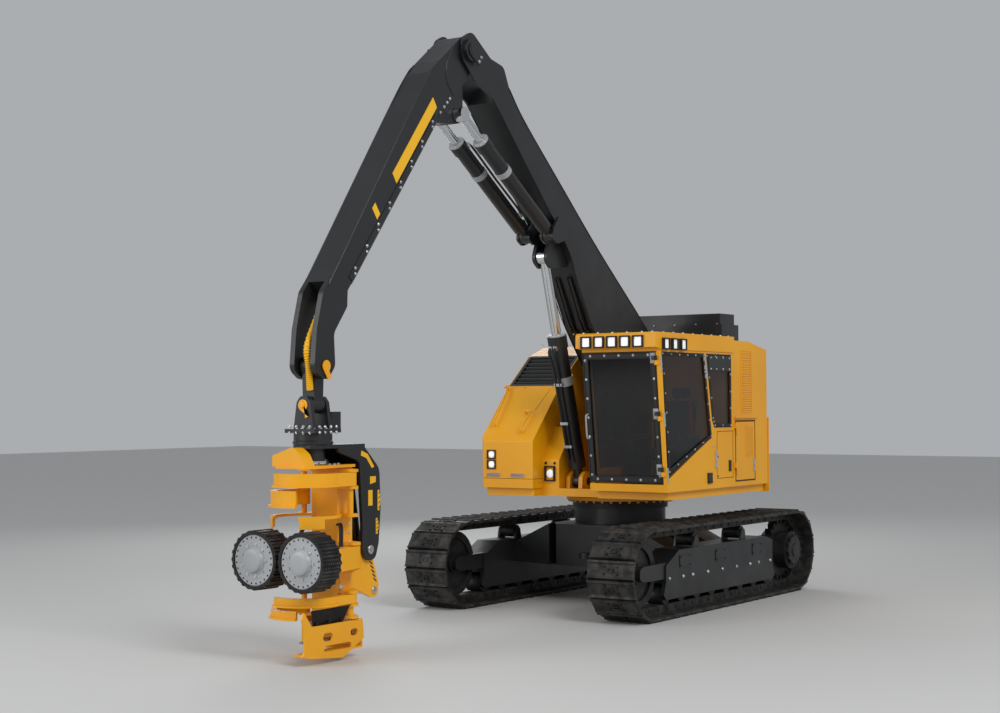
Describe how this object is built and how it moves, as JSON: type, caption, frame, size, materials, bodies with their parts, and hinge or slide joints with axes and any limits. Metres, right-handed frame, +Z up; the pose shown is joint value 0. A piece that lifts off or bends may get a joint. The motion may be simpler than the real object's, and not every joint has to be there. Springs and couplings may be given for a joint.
{
  "type": "tracked forestry harvester",
  "caption": "Tracked forestry harvester with a slewing cab and engine house, a knuckle boom and a hanging head with feed wheels, curved knives and a saw bar.",
  "frame": {"origin": "centre of the whole machine's footprint box in the rest pose, on the ground under the tracks", "axes": "+X to the front, where the boom reaches; +Y to the cab's side (the machine's left); +Z up"},
  "size_m": [9.2882, 3.23, 6.7398],
  "materials": {
    "yellow_paint": "gloss",
    "black_paint": "satin",
    "track_steel": "satin",
    "dark_steel": "satin",
    "chromed_rod": "polished",
    "tinted_glass": "gloss",
    "studded_steel": "satin",
    "silver_paint": "satin",
    "lamp": "gloss",
    "seat_fabric": "matte",
    "engine_iron": "matte",
    "weight_iron": "gloss",
    "bar_steel": "satin"
  },
  "bodies": {
    "undercarriage": {"car_body": "black_paint", "track_left": "track_steel", "track_right": "track_steel", "track_frame_left": "black_paint", "track_frame_right": "black_paint", "track_rollers": "dark_steel", "idlers": "dark_steel", "sprockets": "dark_steel", "slew_ring": "dark_steel"},
    "upper": {"deck_frame": "yellow_paint", "cab_shell": "yellow_paint", "cab_side_glass": "tinted_glass", "cab_visor": "yellow_paint", "work_lamps": "lamp", "operator_seat": "seat_fabric", "right_housing": "yellow_paint", "step_box": "yellow_paint", "louvre_hood": "black_paint", "engine_enclosure": "yellow_paint", "counterweight": "weight_iron", "engine_block": "engine_iron", "cooler_boxes": "black_paint"},
    "cab_door": {"cab_door": "black_paint", "cab_door_glass": "tinted_glass"},
    "service_door": {"service_door": "yellow_paint"},
    "boom": {"main_boom": "black_paint"},
    "hoist_barrel": {"hoist_barrel": "black_paint"},
    "hoist_rod": {"hoist_rod": "chromed_rod"},
    "stick": {"stick": "black_paint"},
    "stick_barrels": {"stick_barrels": "black_paint"},
    "stick_rods": {"stick_rods": "chromed_rod"},
    "hanger": {"hanger_link": "black_paint"},
    "rotator": {"rotator": "black_paint"},
    "tilt_bracket": {"tilt_bracket": "black_paint"},
    "tilt_barrel": {"tilt_barrel": "black_paint"},
    "tilt_rod": {"tilt_rod": "chromed_rod"},
    "head": {"head_frame": "yellow_paint", "saw_box": "yellow_paint"},
    "feed_arm_left": {"feed_arm_left": "yellow_paint"},
    "feed_arm_right": {"feed_arm_right": "yellow_paint"},
    "feed_wheel_left": {"feed_tyre_left": "studded_steel", "feed_hub_left": "silver_paint"},
    "feed_wheel_right": {"feed_tyre_right": "studded_steel", "feed_hub_right": "silver_paint"},
    "upper_knife_left": {"upper_knife_left": "yellow_paint"},
    "upper_knife_right": {"upper_knife_right": "yellow_paint"},
    "lower_knife_left": {"lower_knife_left": "yellow_paint"},
    "lower_knife_right": {"lower_knife_right": "yellow_paint"},
    "saw_bar": {"saw_bar": "bar_steel"}
  },
  "joints": [
    {"name": "slew", "type": "hinge", "parent": "undercarriage", "child": "upper", "pos_m": [-2.10914, 0, 1.318], "axis": [0, 0, 1], "continuous": true},
    {"name": "cab_door_swing", "type": "hinge", "parent": "upper", "child": "cab_door", "pos_m": [-0.42695, 1.503, 2.36], "axis": [0.1113, 0, 0.9938], "range_deg": [0, 110]},
    {"name": "service_door_swing", "type": "hinge", "parent": "upper", "child": "service_door", "pos_m": [-2.36914, 1.564, 1.93], "axis": [0, 0, -1], "range_deg": [0, 110]},
    {"name": "boom_lift", "type": "hinge", "parent": "upper", "child": "boom", "pos_m": [-2.55914, 0, 2.25], "axis": [0, 1, 0], "range_deg": [-22, 28]},
    {"name": "hoist_barrel_pivot", "type": "hinge", "parent": "upper", "child": "hoist_barrel", "pos_m": [-1.09914, 0, 1.565], "axis": [0, 1, 0], "range_deg": [-21.23, 26.88]},
    {"name": "hoist_rod_slide", "type": "slide", "parent": "hoist_barrel", "child": "hoist_rod", "axis": [0.2828, 0, 0.9592], "range_m": [-0.7716, 0.6071]},
    {"name": "stick_swing", "type": "hinge", "parent": "boom", "child": "stick", "pos_m": [1.57755, 0, 6.53367], "axis": [0, -1, 0], "range_deg": [-22, 70]},
    {"name": "stick_barrel_pivot", "type": "hinge", "parent": "boom", "child": "stick_barrels", "pos_m": [-0.15638, 0, 4.57978], "axis": [0, 1, 0], "range_deg": [-0.6, 0.53]},
    {"name": "stick_rod_slide", "type": "slide", "parent": "stick_barrels", "child": "stick_rods", "axis": [0.8373, 0, 0.5468], "range_m": [-0.2601, 0.8188]},
    {"name": "hanger_swing", "type": "hinge", "parent": "stick", "child": "hanger", "pos_m": [4.06414, 0, 2.92915], "axis": [0, 1, 0], "range_deg": [-40, 50]},
    {"name": "rotator_swing", "type": "hinge", "parent": "hanger", "child": "rotator", "pos_m": [4.06414, 0, 2.53715], "axis": [1, 0, 0], "range_deg": [-30, 30]},
    {"name": "rotator_turn", "type": "hinge", "parent": "rotator", "child": "tilt_bracket", "pos_m": [4.06414, 0, 2.14], "axis": [0, 0, 1], "continuous": true},
    {"name": "head_tilt", "type": "hinge", "parent": "tilt_bracket", "child": "head", "pos_m": [3.42414, 0, 1.05], "axis": [0, 1, 0], "range_deg": [0, 90]},
    {"name": "tilt_barrel_pivot", "type": "hinge", "parent": "tilt_bracket", "child": "tilt_barrel", "pos_m": [3.50414, 0, 1.75], "axis": [0, 1, 0], "range_deg": [-0.1, 32.98]},
    {"name": "tilt_rod_slide", "type": "slide", "parent": "tilt_barrel", "child": "tilt_rod", "axis": [-0.1743, 0, -0.9847], "range_m": [-0.3299, 0.001]},
    {"name": "feed_arm_left_swing", "type": "hinge", "parent": "head", "child": "feed_arm_left", "pos_m": [3.79514, 0.3, 1.005], "axis": [0, 0, 1], "range_deg": [0, 40]},
    {"name": "feed_wheel_left_spin", "type": "hinge", "parent": "feed_arm_left", "child": "feed_wheel_left", "pos_m": [4.47514, 0.305, 1.005], "axis": [1, 0, 0], "continuous": true},
    {"name": "upper_knife_left_swing", "type": "hinge", "parent": "head", "child": "upper_knife_left", "pos_m": [3.84514, 0.305, 1.7925], "axis": [0, 0, 1], "range_deg": [0, 45]},
    {"name": "lower_knife_left_swing", "type": "hinge", "parent": "head", "child": "lower_knife_left", "pos_m": [3.84514, 0.305, 0.595], "axis": [0, 0, 1], "range_deg": [0, 45]},
    {"name": "feed_arm_right_swing", "type": "hinge", "parent": "head", "child": "feed_arm_right", "pos_m": [3.79514, -0.3, 1.005], "axis": [0, 0, -1], "range_deg": [0, 40]},
    {"name": "feed_wheel_right_spin", "type": "hinge", "parent": "feed_arm_right", "child": "feed_wheel_right", "pos_m": [4.47514, -0.305, 1.005], "axis": [1, 0, 0], "continuous": true},
    {"name": "upper_knife_right_swing", "type": "hinge", "parent": "head", "child": "upper_knife_right", "pos_m": [3.84514, -0.305, 1.6075], "axis": [0, 0, -1], "range_deg": [0, 45]},
    {"name": "lower_knife_right_swing", "type": "hinge", "parent": "head", "child": "lower_knife_right", "pos_m": [3.84514, -0.305, 0.4685], "axis": [0, 0, -1], "range_deg": [0, 45]},
    {"name": "saw_bar_swing", "type": "hinge", "parent": "head", "child": "saw_bar", "pos_m": [3.81514, 0.255, 0.22], "axis": [0, 0, -1], "range_deg": [0, 75]}
  ],
  "couplings": [
    {"joint": "hoist_barrel_pivot", "follows": "boom_lift", "ratio": 0.9422},
    {"joint": "hoist_rod_slide", "follows": "boom_lift", "m_per_rad": -1.5708},
    {"joint": "stick_barrel_pivot", "follows": "stick_swing", "ratio": -0.0014},
    {"joint": "stick_rod_slide", "follows": "stick_swing", "m_per_rad": 0.6669},
    {"joint": "tilt_barrel_pivot", "follows": "head_tilt", "ratio": 0.3609},
    {"joint": "tilt_rod_slide", "follows": "head_tilt", "m_per_rad": -0.2074},
    {"joint": "feed_arm_right_swing", "follows": "feed_arm_left_swing", "ratio": 1},
    {"joint": "upper_knife_right_swing", "follows": "upper_knife_left_swing", "ratio": 1},
    {"joint": "lower_knife_right_swing", "follows": "lower_knife_left_swing", "ratio": 1}
  ]
}
